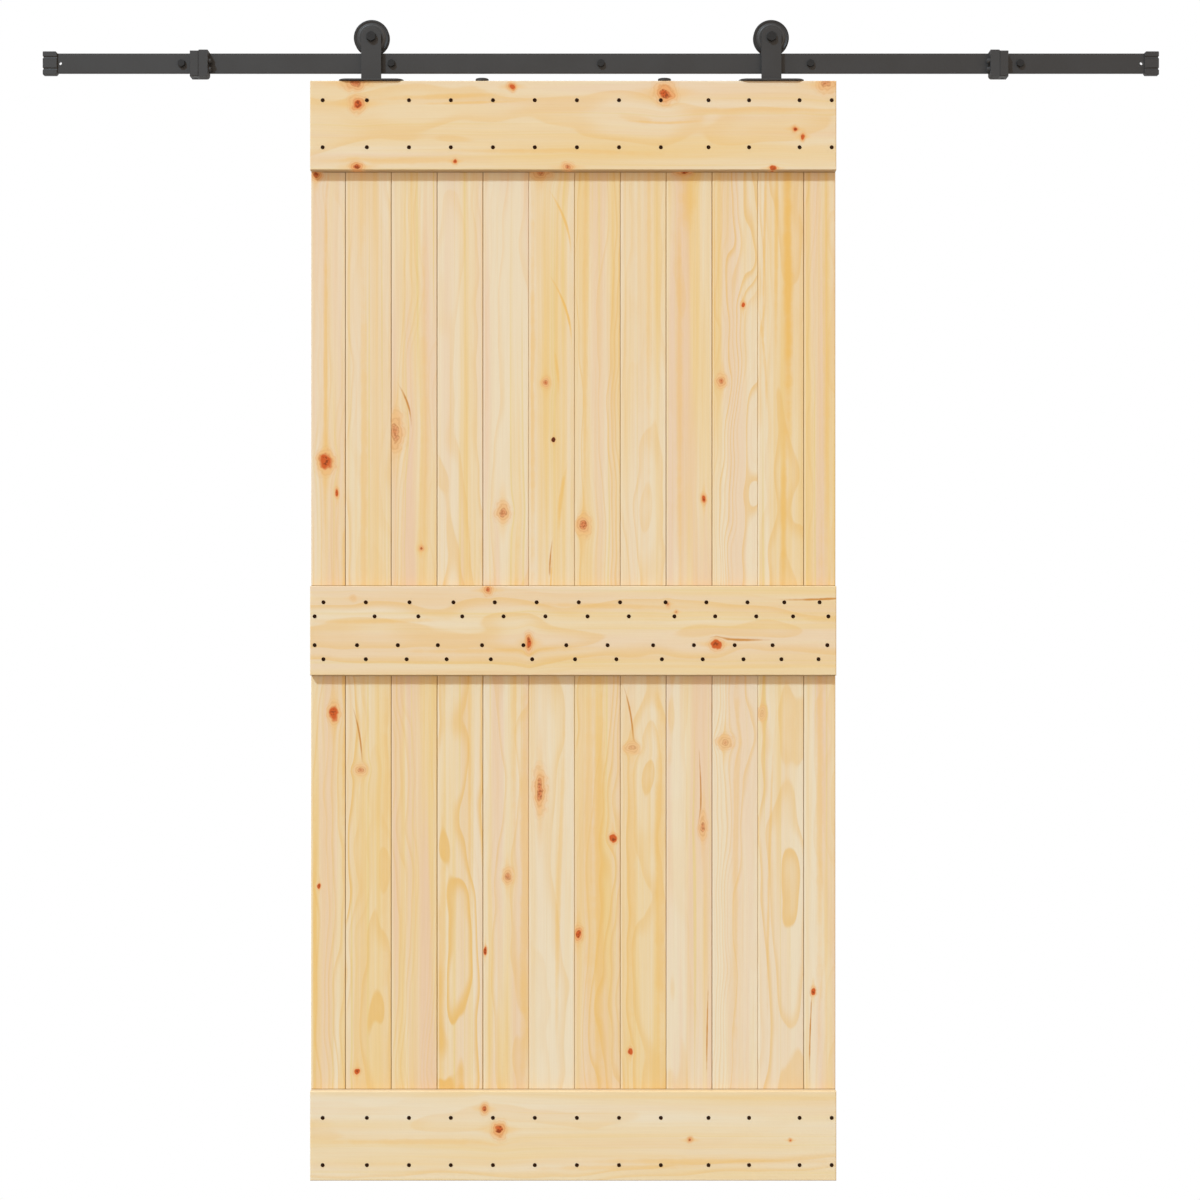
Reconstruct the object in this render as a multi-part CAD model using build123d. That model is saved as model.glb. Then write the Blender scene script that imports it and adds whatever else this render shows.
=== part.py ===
from build123d import *
import os

# Sliding ledged door of pine boards, hung by two grooved wheels from a flat steel rail.
# Millimetres. X runs along the rail, -Y points into the room, Z is up.
# The origin is the axis of the middle wall bolt where it meets the wall, so the wall is y = 0.

# Clearances
SLIP = 0.1           # a piece pushed over or into another
BOLT_ROOM = 0.2      # round a wall bolt
RUN_FIT = 0.05       # bearing bore on its axle bolt
PRESS_FIT = 0.02     # bearing in its wheel
AXLE_PLAY = 0.2      # each side of the bearing, along the axle
TREAD_GAP = 0.2      # wheel tread over the rail

# Rail and its fixings
RAIL_LENGTH = 2120
RAIL_HEIGHT = 38
RAIL_THICK = 6
RAIL_EDGE = 0.8
BOLT_COUNT = 5
BOLT_FROM_END = 260      # outer wall bolt from the rail's end
SPACER_LENGTH = 26
SPACER_RADIUS = 11
WALL_BOLT_RADIUS = 4
WALL_BOLT_CORE = 3.6     # of the threaded part in the wall
WALL_BOLT_THREAD = 27
WALL_BOLT_TIP = 6
WALL_BOLT_FLATS = 13
WALL_BOLT_HEAD = 5.3
END_HOLE_RADIUS = 3
END_HOLE_INSET = 28.5
CAP_LENGTH = 27.5
CAP_END_WALL = 4.5
CAP_WALL = 3.3
CAP_CHAMFER = 2.8
CAP_FILLET = 1.5
CAP_EDGE = 0.8
CAP_GROOVE_RADIUS = 2.6
CAP_GROOVE_DEPTH = 1.4
CAP_GROOVE_PITCH = 22

# Stops clamped on the rail, each with a rubber buffer on the door's side
STOP_FROM_LEFT_END = 295     # seam between clamp and buffer, from the rail's end
STOP_FROM_RIGHT_END = 301.5
STOP_WIDTH = 16.5
STOP_BELOW = 9.2
STOP_LIP = 1.6
STOP_BACK = 5.5
STOP_FRONT = 16
STOP_EDGE = 1
BUFFER_WIDTH = 17.5
BUFFER_LIP = 3.2
BUFFER_CORNER = 6
BUFFER_TOP_CHAMFER = 1.2
NUB_RADIUS = 4.6
NUB_LENGTH = 6
NUB_PITCH = 15.6
NUB_BELOW_CENTRE = 5.7
NUB_EDGE = 1.5
STOP_SCREW_RADIUS = 3
STOP_SCREW_SINK = 0.8
STOP_SCREW_SOCKET = 3
STOP_SCREW_SOCKET_DEPTH = 3

# Door leaf
DOOR_WIDTH = 1000
DOOR_HEIGHT = 2090
DOOR_X = -52.5       # the leaf stands a little left of the rail's middle
DOOR_GAP = 18.5      # under the rail
DOOR_WALL_GAP = 14
PLANK_THICK = 20
PLANK_COUNT = 12
FIRST_PLANK_SHARE = 0.7494   # of a full board: the two outer ones are trimmed
LAST_PLANK_SHARE = 0.6922
TONGUE_THICK = 6
TONGUE_LENGTH = 6
GROOVE_ROOM = 0.25   # round the tongue in its groove
V_CHAMFER = 1.5
LEDGE_HEIGHT = 170
LEDGE_THICK = 16
LEDGE_CHAMFER = 1.5

# Nails, placed by hand: each row has its own places along the door, as shares of the door's width
END_NAILS = (0.024, 0.108, 0.188, 0.2675, 0.3475, 0.427, 0.507, 0.587, 0.6665, 0.757, 0.834, 0.93, 0.991)
UPPER_NAILS = (0.0255, 0.106, 0.189, 0.2725, 0.351, 0.4305, 0.5105, 0.589, 0.6755, 0.753, 0.831, 0.901, 0.968)
LOWER_NAILS = (0.0255, 0.106, 0.1835, 0.2595, 0.3435, 0.422, 0.5035, 0.582, 0.6685, 0.746, 0.8235, 0.8955, 0.966)
NAIL_STEP = 0.0167   # sideways from the outer nail of a pair to the inner one
TOP_ROWS = (0.218, 0.744)    # below the leaf's top, as shares of the ledge's height
BOTTOM_ROWS = (0.704, 0.176)     # above the leaf's bottom
MIDDLE_OUTER = 0.318         # above and below the middle ledge's centre line
MIDDLE_INNER = 0.161
NAIL_HEAD_RADIUS = 4.2
NAIL_HEAD = 1.2
NAIL_TAPER = 40
NAIL_SHANK = 3
NAIL_LENGTH = 30

# Hangers
HANGER_FROM_LEFT = 115.3     # axles from the leaf's edges
HANGER_FROM_RIGHT = 122.7
STRAP_WIDTH = 38
STRAP_THICK = 5
STRAP_GAP = 6        # behind the strap, to the rail's face
FOOT_LENGTH = 124
FOOT_DEPTH = 30
FOOT_THICK = 3.5
FOOT_OVERHANG = 4    # past the ledge's face
FOOT_SCREW_SPACING = 92
SCREW_RADIUS = 2.5
SCREW_HEAD_RADIUS = 4.8
SCREW_LENGTH = 32

# Wheels on their axles
FLANGE_RADIUS = 34
TREAD_RADIUS = 29
GROOVE_WIDTH = 7.6
GROOVE_FLARE = 0.8
FLANGE_THICK = 2.6
FLANGE_EDGE = 0.6
BOSS_FOOT_RADIUS = 26
BOSS_RADIUS = 20.5
BOSS_RISE = 1.9
BEARING_RADIUS = 13
BEARING_WIDTH = 8
AXLE_RADIUS = 5
AXLE_FLATS = 17
AXLE_HEAD = 6.4
AXLE_NUT = 8
AXLE_END = 2         # bolt end past the nut
BUSH_RADIUS = 7
BUSH_ROOM = 1        # round the bush in the wheel's front wall

# Discs on the leaf's top that keep it from being lifted off the rail
DISC_RADIUS = 12.5
DISC_THICK = 5.9
DISC_FROM_HANGER = 211   # towards the leaf's middle
DISC_FROM_RIGHT_HANGER = 203.6
DISC_OFFSET = 5      # its screw hole is off centre

# Planes and lines that follow from the sizes
RAIL_BACK = -SPACER_LENGTH
RAIL_FRONT = RAIL_BACK - RAIL_THICK
RAIL_Y = (RAIL_BACK + RAIL_FRONT) / 2
RAIL_TOP = RAIL_HEIGHT / 2
RAIL_BOTTOM = -RAIL_HEIGHT / 2
PLANK_BACK = -DOOR_WALL_GAP
PLANK_FRONT = PLANK_BACK - PLANK_THICK
PLANK_Y = (PLANK_BACK + PLANK_FRONT) / 2
LEDGE_FRONT = PLANK_FRONT - LEDGE_THICK
LEDGE_Y = (PLANK_FRONT + LEDGE_FRONT) / 2
DOOR_TOP = RAIL_BOTTOM - DOOR_GAP
DOOR_BOTTOM = DOOR_TOP - DOOR_HEIGHT
DOOR_LEFT = DOOR_X - DOOR_WIDTH / 2
DOOR_RIGHT = DOOR_X + DOOR_WIDTH / 2
STRAP_BACK = RAIL_FRONT - STRAP_GAP
STRAP_FRONT = STRAP_BACK - STRAP_THICK
STRAP_Y = (STRAP_BACK + STRAP_FRONT) / 2
FOOT_FRONT = LEDGE_FRONT - FOOT_OVERHANG
AXLE_Z = RAIL_TOP + TREAD_GAP + TREAD_RADIUS
BEARING_FRONT = RAIL_Y - BEARING_WIDTH / 2
BEARING_BACK = RAIL_Y + BEARING_WIDTH / 2
BUSH_BACK = RAIL_Y + GROOVE_WIDTH / 2 + FLANGE_THICK + AXLE_PLAY
# A full board's width from shoulder to shoulder
PLANK_COVER = DOOR_WIDTH / (PLANK_COUNT - 2 + FIRST_PLANK_SHARE + LAST_PLANK_SHARE)
HANGER_X = {"left": DOOR_LEFT + HANGER_FROM_LEFT, "right": DOOR_RIGHT - HANGER_FROM_RIGHT}
DISC_X = {"left": HANGER_X["left"] + DISC_FROM_HANGER, "right": HANGER_X["right"] - DISC_FROM_RIGHT_HANGER}
# Each stop's seam between clamp and buffer, and the way from there to the door
STOP_SEAM = {
    "left": (STOP_FROM_LEFT_END - RAIL_LENGTH / 2, 1),
    "right": (RAIL_LENGTH / 2 - STOP_FROM_RIGHT_END, -1),
}
BASE = (Align.CENTER, Align.CENTER, Align.MIN)


def block(x0, x1, y0, y1, z0, z1):
    """A box between two corners, given in any order."""
    centre = Pos((x0 + x1) / 2, (y0 + y1) / 2, (z0 + z1) / 2)
    return centre * Box(abs(x1 - x0), abs(y1 - y0), abs(z1 - z0))


def bar(radius, length, start=0):
    """A round bar that stands on the height start."""
    return Pos(0, 0, start) * Cylinder(radius, length, align=BASE)


def facing_room(shape, x, y, z=0):
    """Turn a shape that stands on its base so that its top points into the room."""
    return Pos(x, y, z) * Rot(90, 0, 0) * shape


def hexagon(across_flats, height):
    """A six-sided head, nut or socket that stands on height zero."""
    return extrude(RegularPolygon(across_flats / 2, 6, major_radius=False), height)


def bolt_places():
    """Places of the wall bolts along the rail."""
    outer = RAIL_LENGTH / 2 - BOLT_FROM_END
    pitch = 2 * outer / (BOLT_COUNT - 1)
    return [i * pitch - outer for i in range(BOLT_COUNT)]


# Rail

def make_rail():
    half = RAIL_LENGTH / 2
    rail = block(-half, half, RAIL_BACK, RAIL_FRONT, RAIL_BOTTOM, RAIL_TOP)
    rail = chamfer(rail.edges().filter_by(Axis.X), RAIL_EDGE)
    hole = bar(WALL_BOLT_RADIUS + BOLT_ROOM, RAIL_THICK)
    for x in bolt_places():
        rail -= facing_room(hole, x, RAIL_BACK)
    for x in (END_HOLE_INSET - half, half - END_HOLE_INSET):
        rail -= facing_room(bar(END_HOLE_RADIUS, RAIL_THICK), x, RAIL_BACK)
    return rail


def make_wall_spacers():
    """The tubes that hold the rail off the wall."""
    spacer = bar(SPACER_RADIUS, SPACER_LENGTH) - bar(WALL_BOLT_RADIUS + BOLT_ROOM, SPACER_LENGTH)
    return [facing_room(spacer, x, 0) for x in bolt_places()]


def make_wall_bolts():
    """Hexagon-head wood screws, their threads left plain."""
    plain = SPACER_LENGTH + RAIL_THICK
    threaded = plain + WALL_BOLT_THREAD
    bolt = hexagon(WALL_BOLT_FLATS, WALL_BOLT_HEAD) + bar(WALL_BOLT_RADIUS, plain, -plain)
    bolt += bar(WALL_BOLT_CORE, WALL_BOLT_THREAD, -threaded)
    tip = Cone(WALL_BOLT_CORE / 4, WALL_BOLT_CORE, WALL_BOLT_TIP, align=BASE)
    bolt += Pos(0, 0, -threaded - WALL_BOLT_TIP) * tip
    return [facing_room(bolt, x, RAIL_FRONT) for x in bolt_places()]


def make_end_cap():
    """The right-hand cap: a sleeve closed at its outer end, with two finger grooves round it."""
    rail_end = RAIL_LENGTH / 2
    outer = rail_end + CAP_END_WALL
    inner = outer - CAP_LENGTH
    back = RAIL_BACK + CAP_WALL
    front = RAIL_FRONT - CAP_WALL
    half = RAIL_HEIGHT / 2 + CAP_WALL
    outline = Pos((inner + outer) / 2, 0) * Rectangle(CAP_LENGTH, 2 * half)
    corners = outline.vertices().sort_by(Axis.X)
    outline = chamfer(corners[:2], CAP_CHAMFER)
    outline = fillet(outline.vertices().sort_by(Axis.X)[-2:], CAP_FILLET)
    cap = facing_room(extrude(outline, back - front), 0, back)
    cap = chamfer(cap.faces().sort_by(Axis.Y)[0].edges(), CAP_EDGE)
    stand_off = CAP_GROOVE_RADIUS - CAP_GROOVE_DEPTH
    along = Rot(0, 90, 0) * Cylinder(CAP_GROOVE_RADIUS, 2 * CAP_LENGTH)
    across = Rot(90, 0, 0) * Cylinder(CAP_GROOVE_RADIUS, 4 * RAIL_THICK)
    for z in (-CAP_GROOVE_PITCH / 2, CAP_GROOVE_PITCH / 2):
        cap -= Pos(outer, front - stand_off, z) * along
        cap -= Pos(outer, back + stand_off, z) * along
        cap -= Pos(outer + stand_off, RAIL_Y, z) * across
    return cap - block(0, rail_end, RAIL_BACK + SLIP, RAIL_FRONT - SLIP, RAIL_BOTTOM - SLIP, RAIL_TOP + SLIP)


# Stops

def rail_slot(x0, x1):
    """The passage for the rail through a stop or its buffer."""
    return block(x0, x1, RAIL_BACK + SLIP, RAIL_FRONT - SLIP, RAIL_BOTTOM - SLIP, RAIL_TOP + SLIP)


def make_stop(side):
    """The steel clamp round the rail, with the hole of its set screw below."""
    seam, way = STOP_SEAM[side]
    far = seam - way * STOP_WIDTH
    bottom = RAIL_BOTTOM - STOP_BELOW
    stop = block(far, seam, RAIL_BACK + STOP_BACK, RAIL_FRONT - STOP_FRONT, bottom, RAIL_TOP + STOP_LIP)
    stop = chamfer(stop.faces().sort_by(Axis.Y)[0].edges(), STOP_EDGE)
    middle = (far + seam) / 2
    stop -= Pos(middle, RAIL_Y, bottom) * bar(STOP_SCREW_RADIUS + SLIP, STOP_BELOW)
    return stop - rail_slot(far, seam)


def make_buffer(side):
    """The rubber half of a stop, with two nubs that meet the strap's edge."""
    seam, way = STOP_SEAM[side]
    near = seam + way * BUFFER_WIDTH
    bottom = RAIL_BOTTOM - STOP_BELOW
    top = RAIL_TOP + BUFFER_LIP
    buffer = block(seam, near, RAIL_BACK + STOP_BACK, RAIL_FRONT - STOP_FRONT, bottom, top)
    cross_edges = buffer.edges().filter_by(Axis.Y)
    toward_door = cross_edges.sort_by(Axis.X)[-2:] if way > 0 else cross_edges.sort_by(Axis.X)[:2]
    buffer = fillet(toward_door.sort_by(Axis.Z)[0], BUFFER_CORNER)
    cross_edges = buffer.edges().filter_by(Axis.Y)
    from_door = cross_edges.sort_by(Axis.X)[:2] if way > 0 else cross_edges.sort_by(Axis.X)[-2:]
    buffer = chamfer(from_door.sort_by(Axis.Z)[-1], BUFFER_TOP_CHAMFER)
    nub = bar(NUB_RADIUS, NUB_LENGTH)
    nub = chamfer(nub.edges().sort_by(Axis.Z)[-1], NUB_EDGE)
    for rise in (-NUB_PITCH / 2, NUB_PITCH / 2):
        buffer += Pos(near, STRAP_Y, rise - NUB_BELOW_CENTRE) * Rot(0, way * 90, 0) * nub
    return buffer - rail_slot(seam, near)


def make_stop_screws():
    """Set screws that press on the rail's lower edge."""
    length = STOP_BELOW - STOP_SCREW_SINK
    screw = bar(STOP_SCREW_RADIUS, length)
    screw -= hexagon(STOP_SCREW_SOCKET, STOP_SCREW_SOCKET_DEPTH)
    places = [seam - way * STOP_WIDTH / 2 for seam, way in STOP_SEAM.values()]
    return [Pos(x, RAIL_Y, RAIL_BOTTOM - length) * screw for x in places]


# Door leaf

def nail_places():
    """Each nail's place on the leaf's front, for each ledge."""
    end_x = [DOOR_LEFT + DOOR_WIDTH * share for share in END_NAILS]
    upper_x = [DOOR_LEFT + DOOR_WIDTH * share for share in UPPER_NAILS]
    lower_x = [DOOR_LEFT + DOOR_WIDTH * share for share in LOWER_NAILS]
    # Each pair steps away from the door's outer edge at its own end of the row.
    step = DOOR_WIDTH * NAIL_STEP
    upper_step = [-step] + [step] * (len(upper_x) - 1)
    lower_step = [-step] * (len(lower_x) - 1) + [step]
    top = [(x, DOOR_TOP - LEDGE_HEIGHT * share) for share in TOP_ROWS for x in end_x]
    bottom = [(x, DOOR_BOTTOM + LEDGE_HEIGHT * share) for share in BOTTOM_ROWS for x in end_x]
    centre = DOOR_TOP - DOOR_HEIGHT / 2
    outer = LEDGE_HEIGHT * MIDDLE_OUTER
    inner = LEDGE_HEIGHT * MIDDLE_INNER
    middle = [(x, centre + outer) for x in upper_x]
    middle += [(x + aside, centre + inner) for x, aside in zip(upper_x, upper_step)]
    middle += [(x + aside, centre - inner) for x, aside in zip(lower_x, lower_step)]
    middle += [(x, centre - outer) for x in lower_x]
    return {"top": top, "middle": middle, "bottom": bottom}


def nail_hole(place):
    """The square hole that a nail's shank fills."""
    x, z = place
    half = NAIL_SHANK / 2
    return block(x - half, x + half, LEDGE_FRONT, LEDGE_FRONT + NAIL_LENGTH, z - half, z + half)


def make_nails(places):
    """Cut nails: an eight-sided head that tapers outwards and a square shank."""
    head = extrude(RegularPolygon(NAIL_HEAD_RADIUS, 8), NAIL_HEAD, taper=NAIL_TAPER)
    nail = head + Pos(0, 0, -NAIL_LENGTH / 2) * Box(NAIL_SHANK, NAIL_SHANK, NAIL_LENGTH)
    return [facing_room(nail, x, LEDGE_FRONT, z) for x, z in places]


def top_screw_places():
    """Screws driven down into the leaf's top: two for each hanger, then one for each disc."""
    half = FOOT_SCREW_SPACING / 2
    hanger = [x + step for x in HANGER_X.values() for step in (-half, half)]
    return hanger, list(DISC_X.values())


def screw_shape():
    """A countersunk wood screw, its head's top at height zero and its thread left plain."""
    head_height = SCREW_HEAD_RADIUS - SCREW_RADIUS
    head = Cone(SCREW_RADIUS, SCREW_HEAD_RADIUS, head_height, align=BASE)
    return Pos(0, 0, -head_height) * head + bar(SCREW_RADIUS, SCREW_LENGTH - head_height, -SCREW_LENGTH)


def screw_holes():
    """What the screws in the leaf's top take out of the wood and the plates."""
    hanger, disc = top_screw_places()
    screw = screw_shape()
    holes = [Pos(x, LEDGE_Y, DOOR_TOP + FOOT_THICK) * screw for x in hanger]
    return holes + [Pos(x, LEDGE_Y, DOOR_TOP + DISC_THICK) * screw for x in disc]


def make_plank(index, holes):
    """One upright board, with a groove on its left side and a tongue on its right."""
    right = DOOR_LEFT + (FIRST_PLANK_SHARE + index) * PLANK_COVER
    left = right - PLANK_COVER
    if index == 0:
        left = DOOR_LEFT
    if index == PLANK_COUNT - 1:
        right = DOOR_RIGHT
    plank = block(left, right, PLANK_BACK, PLANK_FRONT, DOOR_BOTTOM, DOOR_TOP)
    front_edges = plank.faces().sort_by(Axis.Y)[0].edges().filter_by(Axis.Z)
    plank = chamfer(front_edges, V_CHAMFER)
    half = TONGUE_THICK / 2
    if index > 0:
        deep = TONGUE_LENGTH + GROOVE_ROOM
        wide = half + GROOVE_ROOM
        plank -= block(left, left + deep, PLANK_Y - wide, PLANK_Y + wide, DOOR_BOTTOM, DOOR_TOP)
    if index < PLANK_COUNT - 1:
        tongue = block(right, right + TONGUE_LENGTH, PLANK_Y - half, PLANK_Y + half, DOOR_BOTTOM, DOOR_TOP)
        plank += tongue
    reach = NAIL_SHANK / 2
    for place in holes:
        if left - reach < place[0] < right + TONGUE_LENGTH + reach:
            plank -= nail_hole(place)
    return plank


def make_ledge(top, places, cuts=()):
    """One cross board, its front edges chamfered and its holes cut."""
    ledge = block(DOOR_LEFT, DOOR_RIGHT, PLANK_FRONT, LEDGE_FRONT, top - LEDGE_HEIGHT, top)
    ledge = chamfer(ledge.faces().sort_by(Axis.Y)[0].edges(), LEDGE_CHAMFER)
    for place in places:
        ledge -= nail_hole(place)
    for cut in cuts:
        ledge -= cut
    return ledge


# Hangers

def make_hanger(x, cuts):
    """A flat strap with a round head, welded upright on its foot plate."""
    half = STRAP_WIDTH / 2
    foot_top = DOOR_TOP + FOOT_THICK
    strap = block(x - half, x + half, STRAP_BACK, STRAP_FRONT, foot_top, AXLE_Z)
    strap += facing_room(bar(half, STRAP_THICK), x, STRAP_BACK, AXLE_Z)
    strap -= facing_room(bar(AXLE_RADIUS + SLIP, STRAP_THICK), x, STRAP_BACK, AXLE_Z)
    foot = extrude(SlotOverall(FOOT_LENGTH, FOOT_DEPTH), FOOT_THICK)
    hanger = strap + Pos(x, FOOT_FRONT + FOOT_DEPTH / 2, DOOR_TOP) * foot
    for cut in cuts:
        hanger -= cut
    return hanger


def make_wheel(x):
    """A wheel with a groove for the rail, a raised boss in front and a pocket for its bearing."""
    half = GROOVE_WIDTH / 2
    rim = half + FLANGE_THICK
    boss = rim + BOSS_RISE
    hub = BUSH_RADIUS + BUSH_ROOM
    pocket = BEARING_WIDTH / 2
    # Half section as radius and height; the groove's middle is at height zero and the room is up.
    section = Polyline(
        (BEARING_RADIUS, -rim),
        (FLANGE_RADIUS, -rim),
        (FLANGE_RADIUS, -half - GROOVE_FLARE),
        (TREAD_RADIUS, -half),
        (TREAD_RADIUS, half),
        (FLANGE_RADIUS, half + GROOVE_FLARE),
        (FLANGE_RADIUS, rim - FLANGE_EDGE),
        (FLANGE_RADIUS - FLANGE_EDGE, rim),
        (BOSS_FOOT_RADIUS, rim),
        (BOSS_RADIUS, boss),
        (hub, boss),
        (hub, pocket),
        (BEARING_RADIUS, pocket),
        close=True,
    )
    wheel = revolve(Rot(90, 0, 0) * make_face(section), Axis.Z)
    return facing_room(wheel, x, RAIL_Y, AXLE_Z)


def make_bearing(x):
    """A sealed ball bearing, its outer ring held in the wheel."""
    ring = bar(BEARING_RADIUS - PRESS_FIT, BEARING_WIDTH)
    ring -= bar(AXLE_RADIUS + RUN_FIT, BEARING_WIDTH)
    return facing_room(ring, x, BEARING_BACK, AXLE_Z)


def make_axle_bolt(x):
    """A hexagon bolt through the strap, the wheel's bearing and the nut behind."""
    shank = BUSH_BACK + AXLE_NUT + AXLE_END - STRAP_FRONT
    bolt = hexagon(AXLE_FLATS, AXLE_HEAD) + bar(AXLE_RADIUS, shank, -shank)
    return facing_room(bolt, x, STRAP_FRONT, AXLE_Z)


def make_axle_nut(x):
    nut = hexagon(AXLE_FLATS, AXLE_NUT) - bar(AXLE_RADIUS + SLIP, AXLE_NUT)
    return Pos(x, BUSH_BACK, AXLE_Z) * Rot(-90, 0, 0) * nut


def make_bush(x, back, front):
    """A plain sleeve on the axle between two faces."""
    sleeve = bar(BUSH_RADIUS, back - front) - bar(AXLE_RADIUS + SLIP, back - front)
    return facing_room(sleeve, x, back, AXLE_Z)


def make_disc(x, cuts):
    """An eccentric disc lying on the leaf's top under the rail."""
    disc = Pos(x, LEDGE_Y + DISC_OFFSET, DOOR_TOP) * bar(DISC_RADIUS, DISC_THICK)
    for cut in cuts:
        disc -= cut
    return disc


def save(name, shape):
    """Write one node; a list is a group of separate solids."""
    if isinstance(shape, list):
        shape = Compound(children=shape)
    export_step(shape, f"parts/{name}.step")


def main():
    os.makedirs("parts", exist_ok=True)
    save("rail", make_rail())
    save("wall_spacers", make_wall_spacers())
    save("wall_bolts", make_wall_bolts())
    cap = make_end_cap()
    save("end_cap_right", cap)
    save("end_cap_left", mirror(cap, about=Plane.YZ))
    for side in STOP_SEAM:
        save(f"stop_{side}", make_stop(side))
        save(f"buffer_{side}", make_buffer(side))
    save("stop_screws", make_stop_screws())

    places = nail_places()
    every_nail = places["top"] + places["middle"] + places["bottom"]
    for index in range(PLANK_COUNT):
        save(f"plank_{index + 1:02d}", make_plank(index, every_nail))
    cuts = screw_holes()
    middle_top = DOOR_TOP - DOOR_HEIGHT / 2 + LEDGE_HEIGHT / 2
    save("ledge_top", make_ledge(DOOR_TOP, places["top"], cuts))
    save("ledge_middle", make_ledge(middle_top, places["middle"]))
    save("ledge_bottom", make_ledge(DOOR_BOTTOM + LEDGE_HEIGHT, places["bottom"]))
    for ledge in places:
        save(f"nails_{ledge}", make_nails(places[ledge]))

    hanger_cuts, disc_cuts = cuts[:4], cuts[4:]
    save("hanger_screws", hanger_cuts)
    save("disc_screws", disc_cuts)
    for side, x in HANGER_X.items():
        save(f"hanger_{side}", make_hanger(x, hanger_cuts))
        save(f"wheel_{side}", make_wheel(x))
        save(f"bearing_{side}", make_bearing(x))
        save(f"axle_bolt_{side}", make_axle_bolt(x))
        save(f"axle_nut_{side}", make_axle_nut(x))
        save(f"front_bush_{side}", make_bush(x, BEARING_FRONT - AXLE_PLAY, STRAP_BACK))
        save(f"rear_bush_{side}", make_bush(x, BUSH_BACK, BEARING_BACK + AXLE_PLAY))
    for side, x in DISC_X.items():
        save(f"disc_{side}", make_disc(x, disc_cuts))


main()
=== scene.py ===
import math
import bpy
import bmesh
from mathutils import Matrix, Vector


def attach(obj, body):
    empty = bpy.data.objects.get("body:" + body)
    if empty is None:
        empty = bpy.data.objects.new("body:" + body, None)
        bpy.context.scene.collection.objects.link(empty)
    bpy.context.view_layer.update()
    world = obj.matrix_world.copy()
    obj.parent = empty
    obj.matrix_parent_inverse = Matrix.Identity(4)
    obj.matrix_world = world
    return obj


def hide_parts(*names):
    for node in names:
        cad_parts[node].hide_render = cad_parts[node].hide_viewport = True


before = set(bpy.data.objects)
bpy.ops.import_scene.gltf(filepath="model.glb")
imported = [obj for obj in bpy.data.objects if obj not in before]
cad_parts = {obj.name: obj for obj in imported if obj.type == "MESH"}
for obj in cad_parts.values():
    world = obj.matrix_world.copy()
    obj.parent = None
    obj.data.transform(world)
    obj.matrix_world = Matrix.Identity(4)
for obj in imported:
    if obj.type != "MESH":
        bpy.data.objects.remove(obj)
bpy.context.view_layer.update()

# Dresses the sliding pine door: oiled boards with knots and grain, grey powder-coated rail and
# hangers, turned bolts and nuts. Sizes are in millimetres and become metres through MM.
MM = 0.001

# Places of the pieces: X along the rail, -Y into the room, Z up
SIDES = ("left", "right")
RAIL_FRONT = -32
RAIL_MIDDLE = -29
LEDGE_MIDDLE = -42
WALL_BOLT_X = (-800, -400, 0, 400, 800)
AXLE_X = {"left": -437.2, "right": 324.8}
AXLE_Z = 48.2
STRAP_FRONT = -43
STRAP_BACK = -38
FOOT_TOP = -34
FOOT_SCREW_STEP = 46
STRAP_WIDTH = 38
WELD_STEP = 1.6
WELD_RADIUS = 1.5
WELD_SQUASH = 0.8  # the beads lie closer together than they are wide
WELD_ENDS = 2  # the welds stop short of the strap's edges
DISC_X = {"left": -226.2, "right": 121.2}
DISC_TOP = -31.6
BUSH_BACK = -22.4

# The boards from left to right: edges, warmth and ring strength at the top and at the bottom, pinkness,
# how wide the growth rings are, and where the tree's heart lay beside and behind the middle
BOARD_EDGES = (-552.5, -487, -399.6, -312.2, -224.8, -137.4, -50, 37.4, 124.8, 212.2, 299.6, 387, 447.5)
BOARDS = (
    (0.02, 0.72, 0.20, 0.50, 0.55, 8, 90, 60),
    (0.26, 0.62, 0.20, 0.95, 0.20, 8, 12, 26),
    (0.44, 0.72, 0.25, 0.35, 0.80, 6, 120, 90),
    (0.00, 0.62, 0.20, 0.90, 0.35, 9, -22, 34),
    (0.00, 0.46, 0.25, 0.45, 0.60, 9, 60, 60),
    (0.34, -0.05, 0.50, 0.30, 0.10, 15, -20, 34),
    (0.42, 0.82, 0.55, 0.75, 0.45, 6, 70, 40),
    (0.12, 0.76, 0.35, 0.95, 0.20, 9, 15, 30),
    (0.52, 0.20, 0.60, 0.30, 0.65, 12, -34, 46),
    (0.20, -0.10, 0.60, 0.35, 0.45, 5, 60, 52),
    (0.48, -0.10, 0.55, 0.70, 0.25, 10, 12, 28),
    (0.66, 0.46, 0.50, 0.40, 0.65, 7, 50, 60),
)
# How dark the painted shade in each board's seam to its left neighbour is, and last the door's right edge
SEAM_DEPTHS = (0.0, 0.62, 0.60, 0.62, 0.60, 0.22, 0.38, 0.42, 0.34, 0.58, 0.10, 0.64, 0.0)
LEDGES = {
    "top": (0.44, 0.47, 0.35, 0.35, 0.35, 14, 12, 60),
    "middle": (0.34, 0.50, 0.60, 0.50, 0.35, 15, -10, 44),
    "bottom": (0.34, 0.34, 0.40, 0.40, 0.20, 13, 24, 52),
}
LEDGE_SPANS = {"top": (-207.5, -37.5), "middle": (-1167.5, -997.5), "bottom": (-2127.5, -1957.5)}

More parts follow.
